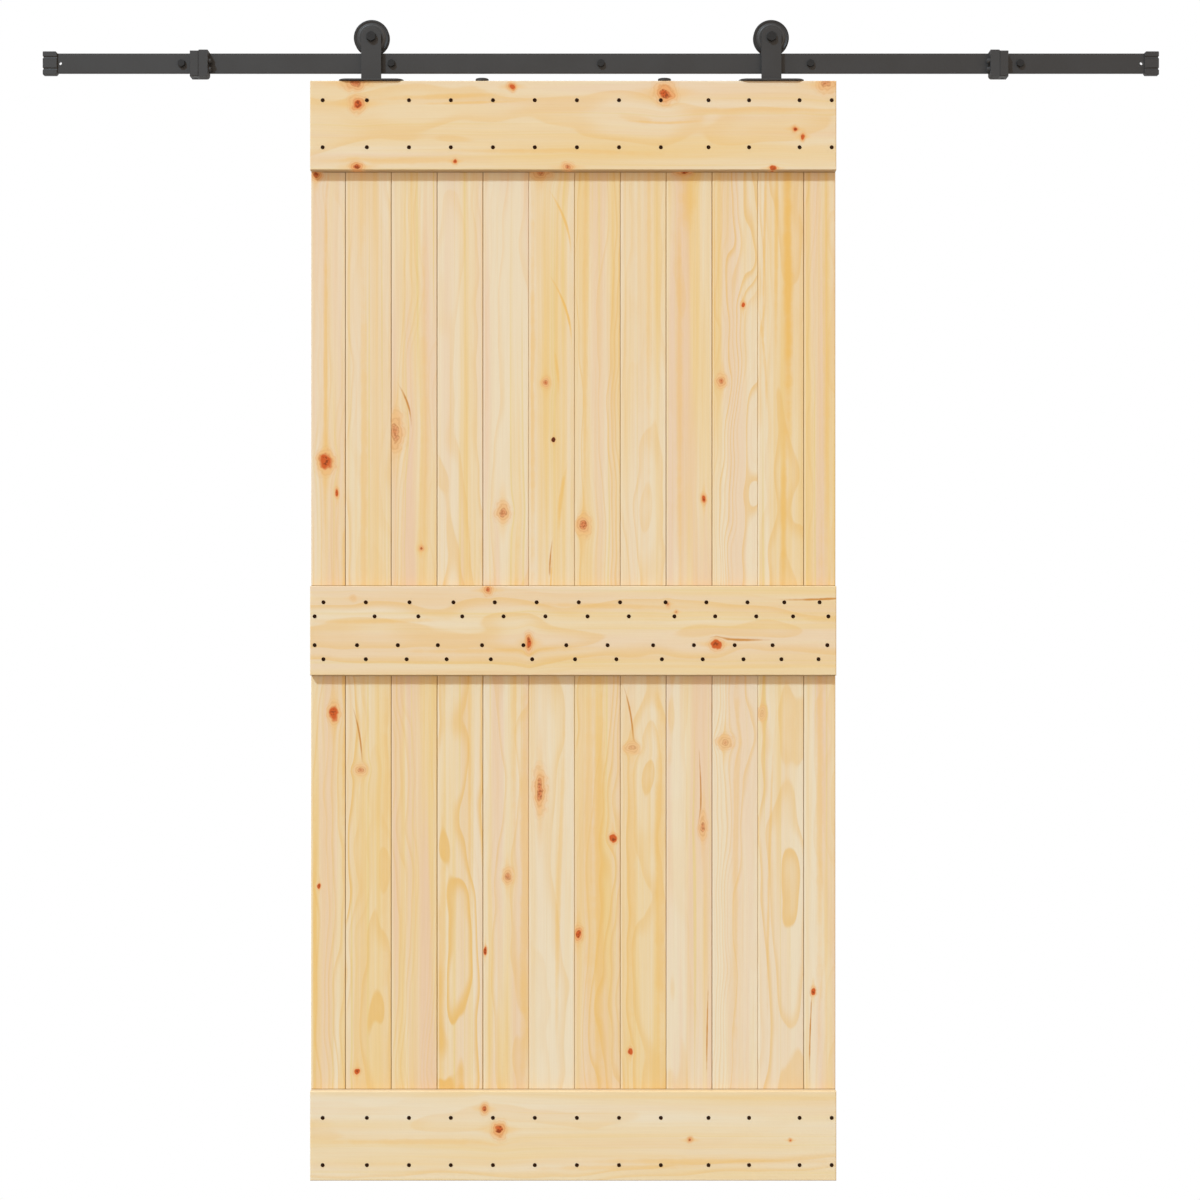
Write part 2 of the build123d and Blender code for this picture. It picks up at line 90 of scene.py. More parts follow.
# Knots: place along the door, height, half width, length over width, and depth of colour
BOARD_KNOTS = (
    (-524.2, -760.9, 15, 1.3, 1.15), (-503.2, -820, 4.0, 2.2, 1.1), (-543.5, -213.5, 11, 0.9, 0.9),
    (-508.9, -1239.6, 10, 1.8, 1.15), (-537.6, -1569.6, 3.8, 1.6, 1.2),
    (-459.4, -1348.3, 12, 0.8, 0.8), (-465.1, -1922.4, 5.7, 1.3, 1.2),
    (-392, -703.7, 15, 2.2, 0.8), (-343, -924.9, 5.7, 1.0, 0.9),
    (-186.6, -856.3, 13, 1.3, 0.8), (-177.1, -1550.5, 9.5, 1.4, 0.8), (-220.9, -1693.6, 2.9, 3.0, 1.2),
    (-104.6, -610.2, 7.6, 1.3, 0.85), (-89.3, -718.9, 3.8, 1.4, 1.6), (-114.1, -209.7, 17, 0.7, 0.8),
    (-116, -1386.5, 12, 3.0, 0.85),
    (-34, -881.1, 13, 1.4, 0.85), (23.2, -1478, 7.6, 1.3, 1.15), (-43.5, -1661.1, 9, 1.6, 1.05),
    (55.6, -1884.3, 5.7, 1.3, 1.2), (59.4, -1306.4, 13, 0.8, 0.75),
    (196.8, -831.5, 5.7, 1.6, 1.1), (158.6, -207.8, 15, 0.5, 0.9), (194.9, -1457.1, 7.6, 3.0, 0.8),
    (231.1, -606.4, 9.5, 1.3, 0.85), (271.1, -461.4, 4.8, 1.4, 1.15), (236.8, -1294.9, 14, 0.9, 0.75),
    (307.6, -1239.6, 8, 1.6, 0.7),
    (404.7, -1769.9, 5.7, 1.4, 1.2),
)
LEDGE_KNOTS = (
    (-461.3, -81.8, 14, 1.0, 1.08), (-467, -41.9, 13, 1.6, 0.85), (-168.8, -49.6, 8, 1.0, 1.1),
    (121.9, -61.1, 19, 1.0, 0.97), (427.7, -43.9, 15, 1.2, 0.8), (-463.2, -201.5, 9, 1.4, 0.95),
    (-277.1, -190.1, 6, 0.8, 1.15), (-62.4, -201.5, 8.5, 1.3, 0.85), (368.8, -129.3, 6, 1.0, 1.1),
    (384, -144, 8, 0.6, 1.12), (327, -203.3, 4.6, 1.6, 1.3),
    (-214.4, -1005.1, 9.5, 1.1, 0.9), (127.6, -1031.7, 6, 0.7, 0.8), (142.8, -1046.9, 4, 1.0, 0.8),
    (218.8, -1107.7, 10, 1.2, 1.25), (-136, -1106, 17, 0.45, 1.0), (-470.8, -1020.3, 5.7, 1.0, 0.35),
    (-221, -1991, 10, 0.7, 0.9), (-193.5, -2031, 15, 0.8, 1.0), (169.4, -2049.9, 5.7, 1.0, 0.9),
    (359.3, -2049.9, 3.8, 1.0, 0.9),
)
# Resin streaks in the boards: middle along the door, middle height, half width, half length, strength,
# and how far the lower end bends to the left
BOARD_STREAKS = (
    (-490, -1150, 5, 330, 0.6, 0), (-525, -560, 4, 330, 0.55, 0), (-545, -1700, 4, 260, 0.5, 0),
    (-452, -800, 7, 420, 0.45, 0), (-410, -1500, 6, 330, 0.4, 2), (-471, -1285, 1.7, 50, 0.96, -15),
    (-338, -780, 8, 400, 0.4, 3), (-384, -652, 2.2, 34, 0.95, -16),
    (-250, -1260, 4, 300, 0.35, 0), (-300, -1700, 6, 240, 0.4, 3),
    (-146, -1560, 9, 420, 0.5, 0), (-160, -1180, 5, 300, 0.4, 6),
    (-92, -1010, 2, 75, 0.8, 6), (-100, -303, 2.6, 60, 0.75, -42), (-91, -474, 2.4, 58, 0.9, -34),
    (-89, -585, 3, 40, 0.6, -6), (-66, -830, 4, 60, 0.7, 14), (-130, -640, 6, 330, 0.55, 0),
    (-70, -1540, 5, 300, 0.4, 14), (-93.7, -947, 1.9, 30, 0.97, 4),
    (-20, -1450, 9, 420, 0.35, 4), (-30, -500, 5, 420, 0.4, 0), (0, -1560, 10, 480, 0.5, 4),
    (92, -430, 5, 420, 0.35, 0), (60, -1560, 8, 330, 0.4, 2), (46, -1250, 1.7, 54, 0.96, -16),
    (112, -1540, 9, 460, 0.5, 0),
    (150, -620, 6, 350, 0.4, 0), (170, -260, 16, 60, 0.5, 6), (188, -1385, 1.5, 66, 0.96, -4),
    (205, -1840, 1.4, 85, 0.95, 3),
    (215, -520, 4, 260, 0.6, 0), (214, -340, 5, 120, 0.6, 2), (262, -1500, 6, 420, 0.35, 6),
    (354, -400, 9, 300, 0.92, -4), (337, -330, 4, 200, 0.6, 3), (350, -860, 6, 150, 0.7, 2),
    (318, -330, 3, 210, 0.6, 8), (300, -560, 3, 100, 0.45, -16), (330, -1540, 3, 260, 0.5, 12),
    (430, -500, 6, 420, 0.4, 0), (420, -1380, 7, 420, 0.45, 3), (403, -1850, 1.5, 75, 0.96, 5),
)
LEDGE_STREAKS = (
    (-300, -62, 5, 120, 0.45, 8), (120, -112, 3, 70, 0.5, 0), (-380, -185, 7, 140, 0.4, 4),
    (-250, -75, 3, 90, 0.5, 6), (-60, -175, 5, 200, 0.4, -5), (300, -90, 6, 150, 0.35, 4),
    (420, -1019, 2.4, 66, 0.96, 5), (262, -1100, 2.6, 50, 0.96, 0), (-200, -1115, 5, 180, 0.4, 6),
    (-420, -1060, 5, 120, 0.4, 5), (0, -1040, 5, 160, 0.4, -6),
    (200, -2090, 6, 200, 0.4, 0), (-350, -2050, 6, 200, 0.4, 4), (30, -2100, 5, 160, 0.4, 3),
)
PITCH_STRENGTH = 0.95  # streaks at least this strong are dark pitch lines

# The wood's colours, with the painted shade and highlight at its seams and edges
PALE_PINE = (0.835, 0.680, 0.470, 1)
HONEY_PINE = (0.835, 0.575, 0.250, 1)
PINK_PINE = (0.810, 0.555, 0.375, 1)
YELLOW_STRIPE = (0.800, 0.585, 0.235, 1)
LATE_RING = (0.810, 0.475, 0.135, 1)
FIBRE_BROWN = (0.62, 0.38, 0.17, 1)
RESIN = (0.83, 0.48, 0.125, 1)
PITCH = (0.60, 0.25, 0.05, 1)
WARM_ROUND_KNOT = (0.84, 0.50, 0.17, 1)
KNOT_RIM = (0.85, 0.46, 0.18, 1)
FAINT_KNOT = ((0.82, 0.52, 0.25, 1), (0.68, 0.36, 0.14, 1))
SOUND_KNOT = ((0.82, 0.38, 0.14, 1), (0.62, 0.18, 0.045, 1))
KNOT_RINGS = (0.62, 0.33, 0.12, 1)
KNOT_RED = (0.60, 0.085, 0.012, 1)
KNOT_HEART = (0.21, 0.035, 0.006, 1)
DEAD_HEART = (0.07, 0.012, 0.003, 1)
SEAM_PAINTED_HIGHLIGHT = (0.88, 0.72, 0.50, 1)
JOINT_SHADE = (0.22, 0.10, 0.035, 1)
LEDGE_EDGE_SHADE = (0.40, 0.22, 0.08, 1)

WOOD_SHINE = 0.30
WOOD_TINT = (1.0, 0.78, 0.56, 1)
METAL_TINT = (1.0, 0.85, 0.72, 1)
GRAIN_DEPTH = 0.25
EDGE_WOBBLE = 6  # how far knots and streaks stray from a smooth outline
UPRIGHT_SPAN = (-200, -2000)  # from the door's top to its foot, for warmth and rings
LEVEL_SPAN = (-550, 450)  # from a ledge's left end to its right one
LEDGE_STREAKINESS = 0.45
BOARD_SEEDS = (1.3, 3.7)  # the first, and the step to the next
LEDGE_SEEDS = (51.3, 7.1)


# Node graphs

def add_node(tree, kind, **settings):
    node = tree.nodes.new(kind)
    for name, value in settings.items():
        setattr(node, name, value)
    return node


def feed(tree, socket, value):
    """Joins an output to a socket, or sets the socket's own value."""
    if isinstance(value, bpy.types.NodeSocket):
        tree.links.new(value, socket)
    else:
        socket.default_value = value


def calculate(tree, operation, *values, clamp=False):
    node = add_node(tree, "ShaderNodeMath", operation=operation, use_clamp=clamp)
    for socket, value in zip(node.inputs, values):
        feed(tree, socket, value)
    return node.outputs[0]


def step_between(tree, value, low, high, out_low=0.0, out_high=1.0):
    """A smooth step of value from low to high."""
    node = add_node(tree, "ShaderNodeMapRange", interpolation_type="SMOOTHSTEP")
    for socket, number in zip(node.inputs, (value, low, high, out_low, out_high)):
        feed(tree, socket, number)
    return node.outputs[0]


COLOUR_A, COLOUR_B, MIXED_COLOUR = 6, 7, 2  # the mix node's colour sockets


def mix_colours(tree, factor, first, second):
    node = add_node(tree, "ShaderNodeMix", data_type="RGBA")
    feed(tree, node.inputs["Factor"], factor)
    feed(tree, node.inputs[COLOUR_A], first)
    feed(tree, node.inputs[COLOUR_B], second)
    return node.outputs[MIXED_COLOUR]


def noise(tree, vector, scale, detail=2.0, roughness=0.5):
    node = add_node(tree, "ShaderNodeTexNoise")
    feed(tree, node.inputs["Vector"], vector)
    feed(tree, node.inputs["Scale"], scale)
    feed(tree, node.inputs["Detail"], detail)
    feed(tree, node.inputs["Roughness"], roughness)
    return node.outputs[0]


def combine(tree, x, y, z):
    node = add_node(tree, "ShaderNodeCombineXYZ")
    for socket, value in zip(node.inputs, (x, y, z)):
        feed(tree, socket, value)
    return node.outputs[0]


def separate(tree, vector):
    node = add_node(tree, "ShaderNodeSeparateXYZ")
    feed(tree, node.inputs[0], vector)
    return node.outputs


def new_group(name, inputs, outputs):
    """A shader group; inputs and outputs are {name: socket type}."""
    group = bpy.data.node_groups.new(name, "ShaderNodeTree")
    for label, kind in inputs.items():
        group.interface.new_socket(label, in_out="INPUT", socket_type=kind)
    for label, kind in outputs.items():
        group.interface.new_socket(label, in_out="OUTPUT", socket_type=kind)
    source = group.nodes.new("NodeGroupInput").outputs
    target = group.nodes.new("NodeGroupOutput").inputs
    return group, source, target


def place_group(tree, group, **values):
    """Puts a group in a tree; a value's name is the socket's, with _ for a space."""
    node = add_node(tree, "ShaderNodeGroup", node_tree=group)
    for name, value in values.items():
        feed(tree, node.inputs[name.replace("_", " ")], value)
    return node.outputs


FLOAT = "NodeSocketFloat"
VECTOR = "NodeSocketVector"
COLOUR = "NodeSocketColor"


def make_knot_group():
    """Grain flowing round a knot: how far it is pushed aside, how near the knot a point is, and the warm
    wood above and below it."""
    group, given, result = new_group(
        "grain round a knot",
        {"Across": FLOAT, "Along": FLOAT, "Knot across": FLOAT, "Knot along": FLOAT, "Radius": FLOAT,
         "Stretch": FLOAT},
        {"Shift": FLOAT, "Nearness": FLOAT, "Flame": FLOAT},
    )
    aside = calculate(group, "SUBTRACT", given["Across"], given["Knot across"])
    ahead = calculate(group, "SUBTRACT", given["Along"], given["Knot along"])
    stretched = calculate(group, "DIVIDE", ahead, given["Stretch"])
    aside_square = calculate(group, "MULTIPLY", aside, aside)
    ahead_square = calculate(group, "MULTIPLY", stretched, stretched)
    square = calculate(group, "ADD", aside_square, ahead_square)
    radius_square = calculate(group, "MULTIPLY", given["Radius"], given["Radius"])
    ratio = calculate(group, "DIVIDE", radius_square, calculate(group, "MAXIMUM", square, radius_square))
    shift = calculate(group, "MULTIPLY", calculate(group, "MULTIPLY", aside, ratio), -0.9)
    feed(group, result["Shift"], shift)
    nearness = calculate(group, "DIVIDE", calculate(group, "SQRT", square), given["Radius"])
    feed(group, result["Nearness"], nearness)
    wide_square = calculate(group, "MULTIPLY", aside_square, 1.6)
    long_square = calculate(group, "MULTIPLY_ADD", ahead_square, 0.07, wide_square)
    flame = calculate(group, "DIVIDE", calculate(group, "SQRT", long_square), given["Radius"])
    feed(group, result["Flame"], step_between(group, flame, 1.15, 0.2))
    return group


def make_knot_colour_group():
    """Paints one knot: warm wood round it, an orange rim, rings and a red or dead brown heart."""
    group, given, result = new_group(
        "knot colour",
        {"Color": COLOUR, "Vector": VECTOR, "Nearness": FLOAT, "Flame": FLOAT, "Depth": FLOAT},
        {"Color": COLOUR},
    )
    ragged = noise(group, given["Vector"], 62.0, 2.0, 0.55)
    near = calculate(group, "ADD", given["Nearness"], calculate(group, "MULTIPLY_ADD", ragged, 1.1, -0.55))
    depth = calculate(group, "MINIMUM", given["Depth"], 1.0)
    flame = calculate(group, "MULTIPLY", given["Flame"], 0.55)
    flame = calculate(group, "MULTIPLY", flame, depth)
    colour = mix_colours(group, flame, given["Color"], WARM_ROUND_KNOT)
    halo = calculate(group, "MULTIPLY", step_between(group, near, 1.7, 0.9, 0.0, 0.65), depth)
    colour = mix_colours(group, halo, colour, KNOT_RIM)
    sure = step_between(group, given["Depth"], 0.65, 1.0)
    body = calculate(group, "MULTIPLY", step_between(group, near, 1.05, 0.72, 0.0, 1.0), depth)
    rings = calculate(group, "SINE", calculate(group, "MULTIPLY", near, 17.0))
    ring_tone = calculate(group, "MULTIPLY", step_between(group, rings, -0.3, 1.0),
                          step_between(group, near, 0.95, 0.6, 0.1, 0.8))
    faint = mix_colours(group, ring_tone, *FAINT_KNOT)
    sound = mix_colours(group, ring_tone, *SOUND_KNOT)
    colour = mix_colours(group, body, colour, mix_colours(group, sure, faint, sound))
    outer_lines = calculate(group, "MULTIPLY", step_between(group, rings, -0.2, 1.0),
                            step_between(group, near, 1.9, 1.1, 0.0, 0.22))
    colour = mix_colours(group, calculate(group, "MULTIPLY", outer_lines, depth), colour, KNOT_RINGS)
    red_reach = step_between(group, given["Depth"], 0.95, 1.25, 0.40, 0.85)
    past_red = calculate(group, "SUBTRACT", near, red_reach)
    red = calculate(group, "MULTIPLY", sure, step_between(group, past_red, 0.16, -0.16, 0.0, 0.92))
    colour = mix_colours(group, red, colour, KNOT_RED)
    spots = step_between(group, noise(group, given["Vector"], 230.0, 2.0), 0.46, 0.60, 0.0, 0.85)
    dead = step_between(group, given["Depth"], 1.25, 1.6)
    spots = calculate(group, "MAXIMUM", spots, dead)
    reach = calculate(group, "MULTIPLY_ADD", dead, 0.5, 0.45)
    edge = calculate(group, "SUBTRACT", near, reach)
    heart = calculate(group, "MULTIPLY", step_between(group, edge, 0.10, -0.10), spots)
    heart = calculate(group, "MULTIPLY", calculate(group, "MULTIPLY", heart, sure), 0.92)
    brown = mix_colours(group, dead, KNOT_HEART, DEAD_HEART)
    feed(group, result["Color"], mix_colours(group, heart, colour, brown))
    return group


def make_pine_group():
    """Planed and oiled pine. Across, Depth and Along are the board's own directions in metres."""
    group, given, result = new_group(
        "pine",
        {"Across": FLOAT, "Depth": FLOAT, "Along": FLOAT, "Seed": FLOAT, "Heart across": FLOAT,
         "Heart depth": FLOAT, "Figure": FLOAT, "Ring width": FLOAT, "Warmth": FLOAT, "Pinkness": FLOAT,
         "Streakiness": FLOAT},
        {"Color": COLOUR, "Roughness": FLOAT, "Height": FLOAT},
    )
    across, depth, along, seed = (given[name] for name in ("Across", "Depth", "Along", "Seed"))

    def stretched_noise(scale_across, scale_along, detail, roughness=0.5, shift=0.0):
        place = combine(
            group,
            calculate(group, "MULTIPLY_ADD", across, scale_across, calculate(group, "ADD", seed, shift)),
            calculate(group, "MULTIPLY", depth, scale_across),
            calculate(group, "MULTIPLY_ADD", along, scale_along, seed),
        )
        return noise(group, place, 1.0, detail, roughness)

    wander = calculate(group, "MULTIPLY_ADD", stretched_noise(9.0, 1.9, 2.0), 0.060, -0.030)
    ripple = stretched_noise(13.0, 6.5, 1.0)
    wander = calculate(group, "MULTIPLY_ADD", calculate(group, "SUBTRACT", ripple, 0.5), 0.022, wander)
    aside = calculate(group, "SUBTRACT", across, given["Heart across"])
    behind = calculate(group, "SUBTRACT", depth, given["Heart depth"])
    square = calculate(group, "ADD", calculate(group, "MULTIPLY", aside, aside),
                       calculate(group, "MULTIPLY", behind, behind))
    radius = calculate(group, "ADD", calculate(group, "SQRT", square), wander)
    radius = calculate(group, "ADD", radius, calculate(group, "MULTIPLY", along, 0.012))
    rings = calculate(group, "DIVIDE", radius, given["Ring width"])
    part = calculate(group, "FRACT", rings)
    count = calculate(group, "FLOOR", rings)
    late = calculate(group, "MULTIPLY", step_between(group, part, 0.35, 0.88),
                     step_between(group, part, 1.0, 0.9))
    chance = noise(group, combine(group, calculate(group, "MULTIPLY", count, 0.83), seed, 0.0), 1.0, 1.0)
    strong = step_between(group, chance, 0.42, 0.66, 0.12, 1.0)
    ring_line = calculate(group, "MULTIPLY", calculate(group, "MULTIPLY", late, strong), given["Figure"])

    streaks = stretched_noise(95.0, 0.9, 3.0, 0.6)
    bands = stretched_noise(44.0, 0.8, 2.0)
    patches = stretched_noise(16.0, 1.3, 2.0)
    blush = stretched_noise(27.0, 1.0, 2.0, 0.5, 31.0)
    fibres = stretched_noise(900.0, 9.0, 2.0)
    thin = step_between(group, stretched_noise(150.0, 0.8, 1.0), 0.60, 0.76, 0.0, 0.7)

    lively = calculate(group, "MULTIPLY", given["Streakiness"], 1.8)
    stripes = calculate(group, "SUBTRACT", calculate(group, "ADD", streaks, bands), 1.0)
    honey = calculate(group, "MULTIPLY_ADD", stripes, lively, given["Warmth"])
    honey = calculate(group, "ADD", honey, calculate(group, "MULTIPLY_ADD", patches, 1.9, -0.95), clamp=True)
    colour = mix_colours(group, honey, PALE_PINE, HONEY_PINE)
    pink = calculate(group, "MULTIPLY", given["Pinkness"], step_between(group, blush, 0.42, 0.62))
    colour = mix_colours(group, pink, colour, PINK_PINE)
    thin = calculate(group, "MULTIPLY", thin, given["Streakiness"])
    colour = mix_colours(group, thin, colour, YELLOW_STRIPE)
    colour = mix_colours(group, ring_line, colour, LATE_RING)
    fibre_tone = calculate(group, "MULTIPLY", step_between(group, fibres, 0.35, 0.75), 0.10)
    feed(group, result["Color"], mix_colours(group, fibre_tone, colour, FIBRE_BROWN))
    feed(group, result["Roughness"], step_between(group, fibres, 0.2, 0.8, 0.48, 0.62))
    height = calculate(group, "MULTIPLY_ADD", ring_line, 0.6, calculate(group, "MULTIPLY", fibres, 0.5))
    feed(group, result["Height"], height)
    return group


def make_speckle_group():
    """Fine mottling of a coat or a moulded skin: a factor for tone and a height."""
    group, given, result = new_group(
        "fine skin",
        {"Vector": VECTOR, "Grain size": FLOAT},
        {"Tone": FLOAT, "Height": FLOAT},
    )
    scale = calculate(group, "DIVIDE", 1.0, given["Grain size"])
    fine = noise(group, given["Vector"], scale, 2.0, 0.6)
    broad = noise(group, given["Vector"], 14.0, 2.0, 0.5)
    feed(group, result["Tone"], calculate(group, "ADD", calculate(group, "MULTIPLY", fine, 0.6),
                                          calculate(group, "MULTIPLY", broad, 0.4)))
    feed(group, result["Height"], fine)
    return group


KNOT = make_knot_group()
KNOT_COLOUR = make_knot_colour_group()
PINE = make_pine_group()
SKIN = make_speckle_group()


# Materials

def new_material(name):
    """A node material with its Principled shader and object coordinates."""
    material = bpy.data.materials.new(name)
    material.use_nodes = True
    tree = material.node_tree
    shader = tree.nodes["Principled BSDF"]
    coordinates = add_node(tree, "ShaderNodeTexCoord").outputs["Object"]
    return material, tree, shader, coordinates


def add_bump(tree, shader, height, distance, strength):
    bump = add_node(tree, "ShaderNodeBump")
    bump.inputs["Strength"].default_value = strength
    bump.inputs["Distance"].default_value = distance
    feed(tree, bump.inputs["Height"], height)
    feed(tree, shader.inputs["Normal"], bump.outputs[0])


def paint_seam_shade_and_highlight(tree, colour, across, depth, along, middle, half_board, depths):
    """Paints shade into a board's seams and, on its front, a painted shadow where the ledges' edges lie;
    paints a highlight along its left edge.
    """
    from_middle = calculate(tree, "SUBTRACT", across, middle * MM)
    # Painted shade in the seams to the left and right
    left = step_between(tree, from_middle, (1.3 - half_board) * MM, (0.3 - half_board) * MM, 0.0, depths[0])
    right = step_between(tree, from_middle, (half_board - 1.3) * MM, (half_board - 0.3) * MM, 0.0, depths[1])
    painted_shade = calculate(tree, "ADD", left, right)
    # Painted shadow on the board's front along each ledge's upper and lower edges, where the ledge meets the
    # boards
    in_front = step_between(tree, depth, -32 * MM, -33.5 * MM, 0.0, 0.7)
    for low, high in LEDGE_SPANS.values():
        from_ledge = calculate(tree, "SUBTRACT", along, (low + high) / 2 * MM)
        from_ledge = calculate(tree, "ABSOLUTE", from_ledge)
        edge = (high - low) / 2
        ledge_edge_shadow = step_between(tree, from_ledge, (edge + 2.4) * MM, (edge + 0.6) * MM)
        painted_shade = calculate(tree, "MAXIMUM", painted_shade, calculate(tree, "MULTIPLY", ledge_edge_shadow, in_front))
    # A painted highlight along the board's left edge, where the seam's chamfer faces the light
    inner = step_between(tree, from_middle, (4.2 - half_board) * MM, (2.6 - half_board) * MM)
    outer = step_between(tree, from_middle, (1.0 - half_board) * MM, (1.8 - half_board) * MM, 0.0, 0.5)
    colour = mix_colours(tree, calculate(tree, "MULTIPLY", inner, outer), colour, SEAM_PAINTED_HIGHLIGHT)
    return mix_colours(tree, painted_shade, colour, JOINT_SHADE)


def paint_streaks(tree, colour, flow, along, ragged, upright, streaks):
    """Resin streaks and pitch lines that follow the grain."""
    rough_edge = calculate(tree, "MULTIPLY_ADD", ragged, 0.8, -0.4)
    for x, z, half_width, half_length, strength, bend in streaks:
        streak_across, streak_along = (x, z) if upright else (z, x)
        share = calculate(tree, "MULTIPLY_ADD", along, -1 / (half_length * MM), streak_along / half_length)
        slope = calculate(tree, "MULTIPLY_ADD", share, -0.25, 0.5)
        curve = calculate(tree, "MULTIPLY_ADD", share, slope, 0.75)
        bent = calculate(tree, "MULTIPLY_ADD", curve, bend * MM, flow)
        streak = place_group(tree, KNOT, Across=bent, Along=along, Knot_across=streak_across * MM,
                             Knot_along=streak_along * MM, Radius=half_width * MM,
                             Stretch=half_length / half_width)
        nearness = calculate(tree, "ADD", streak["Nearness"], rough_edge)
        mask = step_between(tree, nearness, 1.35, 0.3, 0.0, strength)
        colour = mix_colours(tree, mask, colour, RESIN if strength < PITCH_STRENGTH else PITCH)
    return colour


def pine(name, board, middle, half_board, seed, knots, streaks, seams=None):
    """One board's wood. With seams, for a board, the grain runs up the door, else along the ledge."""
    upright = seams is not None
    warmth_high, warmth_low, rings_high, rings_low, pinkness, ring_width, heart_across, heart_depth = board
    material, tree, shader, coordinates = new_material(name)
    place = separate(tree, coordinates)
    across, along = (place[0], place[2]) if upright else (place[2], place[0])
    ragged = noise(tree, coordinates, 45.0, 2.0)
    wobble = calculate(tree, "MULTIPLY_ADD", ragged, EDGE_WOBBLE * MM, -EDGE_WOBBLE / 2 * MM)
    wavy_across = calculate(tree, "ADD", across, wobble)
    wavy_along = calculate(tree, "SUBTRACT", along, wobble)
    flow = across
    near = []
    for x, z, radius, stretch, depth in knots:
        knot_across, knot_along = (x, z) if upright else (z, x)
        outputs = place_group(tree, KNOT, Across=wavy_across, Along=wavy_along, Knot_across=knot_across * MM,
                              Knot_along=knot_along * MM, Radius=radius * MM, Stretch=stretch)
        flow = calculate(tree, "ADD", flow, outputs["Shift"])
        near.append((outputs["Nearness"], outputs["Flame"], depth))
    start, end = UPRIGHT_SPAN if upright else LEVEL_SPAN
    span = step_between(tree, along, start * MM, end * MM)
    warmth = calculate(tree, "MULTIPLY_ADD", span, warmth_low - warmth_high, warmth_high)
    figure = calculate(tree, "MULTIPLY_ADD", span, rings_low - rings_high, rings_high)
    wood = place_group(tree, PINE, Streakiness=1.0 if upright else LEDGE_STREAKINESS, Across=flow,
                       Depth=place[1], Along=along, Seed=seed, Heart_across=(middle + heart_across) * MM,
                       Heart_depth=heart_depth * MM, Figure=figure, Ring_width=ring_width * MM,
                       Warmth=warmth, Pinkness=pinkness)
    colour = paint_streaks(tree, wood["Color"], flow, along, ragged, upright, streaks)
    if upright:
        colour = paint_seam_shade_and_highlight(tree, colour, across, place[1], along, middle, half_board, seams)
    else:
        # Painted shade along the ledge's lower edge, where its underside lies in shadow
        foot = middle - half_board
        low_edge_painted_shade = step_between(tree, across, (foot + 1.9) * MM, (foot + 0.8) * MM, 0.0, 0.6)
        colour = mix_colours(tree, low_edge_painted_shade, colour, LEDGE_EDGE_SHADE)
    for nearness, flame, depth in near:
        colour = place_group(tree, KNOT_COLOUR, Color=colour, Vector=coordinates, Nearness=nearness,
                             Flame=flame, Depth=depth)["Color"]
    feed(tree, shader.inputs["Base Color"], colour)
    feed(tree, shader.inputs["Roughness"], wood["Roughness"])
    shader.inputs["Specular IOR Level"].default_value = WOOD_SHINE
    shader.inputs["Specular Tint"].default_value = WOOD_TINT
    add_bump(tree, shader, wood["Height"], GRAIN_DEPTH * MM, 0.6)
    return material


ROUGHNESS_SPREAD = 0.06


def coated(name, dark, light, roughness, grain_size, bump_depth, metallic=0.0, shine=0.5):
    """A painted, moulded or oxidised surface with fine mottling."""
    material, tree, shader, coordinates = new_material(name)
    skin = place_group(tree, SKIN, Vector=coordinates, Grain_size=grain_size * MM)
    tone = step_between(tree, skin["Tone"], 0.35, 0.65)
    feed(tree, shader.inputs["Base Color"], mix_colours(tree, tone, dark, light))
    uneven = step_between(tree, skin["Tone"], 0.3, 0.7, roughness - ROUGHNESS_SPREAD,
                          roughness + ROUGHNESS_SPREAD)
    feed(tree, shader.inputs["Roughness"], uneven)
    shader.inputs["Metallic"].default_value = metallic
    shader.inputs["Specular IOR Level"].default_value = shine
    shader.inputs["Specular Tint"].default_value = METAL_TINT
    add_bump(tree, shader, skin["Height"], bump_depth * MM, 0.5)
    return material


def grey(level):
    """A grey that looks neutral under the warm and cool lights."""
    return (level * 1.07, level * 1.03, level * 1.01, 1)


def make_board_materials():
    """The wood of every board and ledge, by its node's name."""
    materials = {}
    for i, board in enumerate(BOARDS):
        left, right = BOARD_EDGES[i], BOARD_EDGES[i + 1]
        knots = [knot for knot in BOARD_KNOTS if left < knot[0] < right]
        streaks = [streak for streak in BOARD_STREAKS if left < streak[0] < right]
        name = f"plank_{i + 1:02d}"
        materials[name] = pine(f"pine board {i + 1}", board, (left + right) / 2, (right - left) / 2,
                               BOARD_SEEDS[0] + BOARD_SEEDS[1] * i, knots, streaks, SEAM_DEPTHS[i:i + 2])
    for place, board in LEDGES.items():
        low, high = LEDGE_SPANS[place]
        knots = [knot for knot in LEDGE_KNOTS if low < knot[1] < high]
        streaks = [streak for streak in LEDGE_STREAKS if low < streak[1] < high]
        seed = LEDGE_SEEDS[0] + LEDGE_SEEDS[1] * len(materials)
        materials[f"ledge_{place}"] = pine(f"pine ledge {place}", board, (low + high) / 2, (high - low) / 2,
                                            seed, knots, streaks)
    return materials


POWDER_COAT = coated("grey powder coat", grey(0.0205), grey(0.027), 0.50, 0.9, 0.02)
BLACK_STEEL = coated("blackened steel", grey(0.013), grey(0.0195), 0.52, 0.6, 0.01, shine=0.25)
# Lighter coat that paints a highlight on the wheels' bosses
BOSS_PAINTED_HIGHLIGHT = coated("powder coat painted highlight", grey(0.042), grey(0.056), 0.42, 0.9, 0.02)
